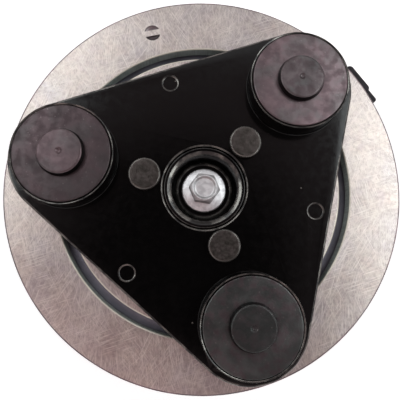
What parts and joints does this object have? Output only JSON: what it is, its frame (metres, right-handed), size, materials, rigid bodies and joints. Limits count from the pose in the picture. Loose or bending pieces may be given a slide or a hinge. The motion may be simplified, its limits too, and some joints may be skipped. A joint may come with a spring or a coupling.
{
  "type": "electromagnetic clutch",
  "caption": "Compressor clutch: a grooved pulley on a ball bearing round a ring coil, and a slotted armature disc on a three-cornered hub plate with rubber dampers in drawn cups.",
  "frame": {"origin": "centre of the rear mounting face, on the turning axis", "axes": "+Z along the turning axis towards the front, where the hub and its bolt are; a damper lies on the -X axis"},
  "size_m": [0.12, 0.12, 0.0497],
  "materials": {
    "ground_steel": "ground bare steel with fine random scratches",
    "black_paint": "gloss black coating",
    "phosphate_steel": "matt dark phosphate on steel",
    "dark_rivet": "dark coated steel with worn bright edges",
    "bolt_steel": "bright zinc plate",
    "rubber": "matt black moulded rubber",
    "bearing_steel": "fine ground hardened steel",
    "plated_steel": "plated steel",
    "copper_wire": "enamelled copper wire",
    "resin": "cast black resin",
    "nylon": "moulded natural nylon",
    "connector_plastic": "moulded dark grey plastic",
    "tin_plate": "tin plate on brass"
  },
  "bodies": {
    "coil_body": {"mounting_plate": "plated_steel", "coil_housing": "plated_steel", "coil_bobbin": "nylon", "coil_winding": "copper_wire", "coil_potting": "resin", "connector_housing": "connector_plastic", "connector_terminal_1": "tin_plate", "connector_terminal_2": "tin_plate", "lead_cover": "connector_plastic", "bearing_inner_ring": "bearing_steel"},
    "pulley": {"rotor": "ground_steel", "pulley_rim": "plated_steel", "bearing_outer_ring": "bearing_steel", "bearing_seal_front": "rubber", "bearing_seal_rear": "rubber", "bearing_circlip": "plated_steel"},
    "ball_train": {"bearing_cage": "nylon", "bearing_ball_1": "bearing_steel", "bearing_ball_2": "bearing_steel", "bearing_ball_3": "bearing_steel", "bearing_ball_4": "bearing_steel", "bearing_ball_5": "bearing_steel", "bearing_ball_6": "bearing_steel", "bearing_ball_7": "bearing_steel", "bearing_ball_8": "bearing_steel", "bearing_ball_9": "bearing_steel", "bearing_ball_10": "bearing_steel"},
    "hub": {"hub_plate": "black_paint", "damper_rubber_1": "rubber", "damper_rubber_2": "rubber", "damper_rubber_3": "rubber", "hub_boss": "black_paint", "hub_rivet_1": "dark_rivet", "hub_rivet_2": "dark_rivet", "hub_rivet_3": "dark_rivet", "shaft_bolt": "bolt_steel", "air_gap_shim": "plated_steel"},
    "armature": {"armature_plate": "ground_steel", "damper_sleeve_1": "plated_steel", "damper_sleeve_2": "plated_steel", "damper_sleeve_3": "plated_steel", "damper_cap_1": "phosphate_steel", "damper_cap_2": "phosphate_steel", "damper_cap_3": "phosphate_steel", "damper_pin_1": "phosphate_steel", "damper_pin_2": "phosphate_steel", "damper_pin_3": "phosphate_steel"}
  },
  "joints": [
    {"name": "pulley_spin", "type": "hinge", "parent": "coil_body", "child": "pulley", "pos_m": [0, 0, 0.0174], "axis": [0, 0, 1], "continuous": true},
    {"name": "ball_train_spin", "type": "hinge", "parent": "coil_body", "child": "ball_train", "pos_m": [0, 0, 0.0174], "axis": [0, 0, 1], "continuous": true},
    {"name": "hub_spin", "type": "hinge", "parent": "coil_body", "child": "hub", "pos_m": [0, 0, 0.0382], "axis": [0, 0, 1], "continuous": true},
    {"name": "armature_slide", "type": "slide", "parent": "hub", "child": "armature", "axis": [0, 0, -1], "range_m": [0, 0.00045], "stiffness_N_per_m": 20000, "springref_m": -0.0005}
  ],
  "couplings": [
    {"joint": "ball_train_spin", "follows": "pulley_spin", "ratio": 0.56667}
  ]
}
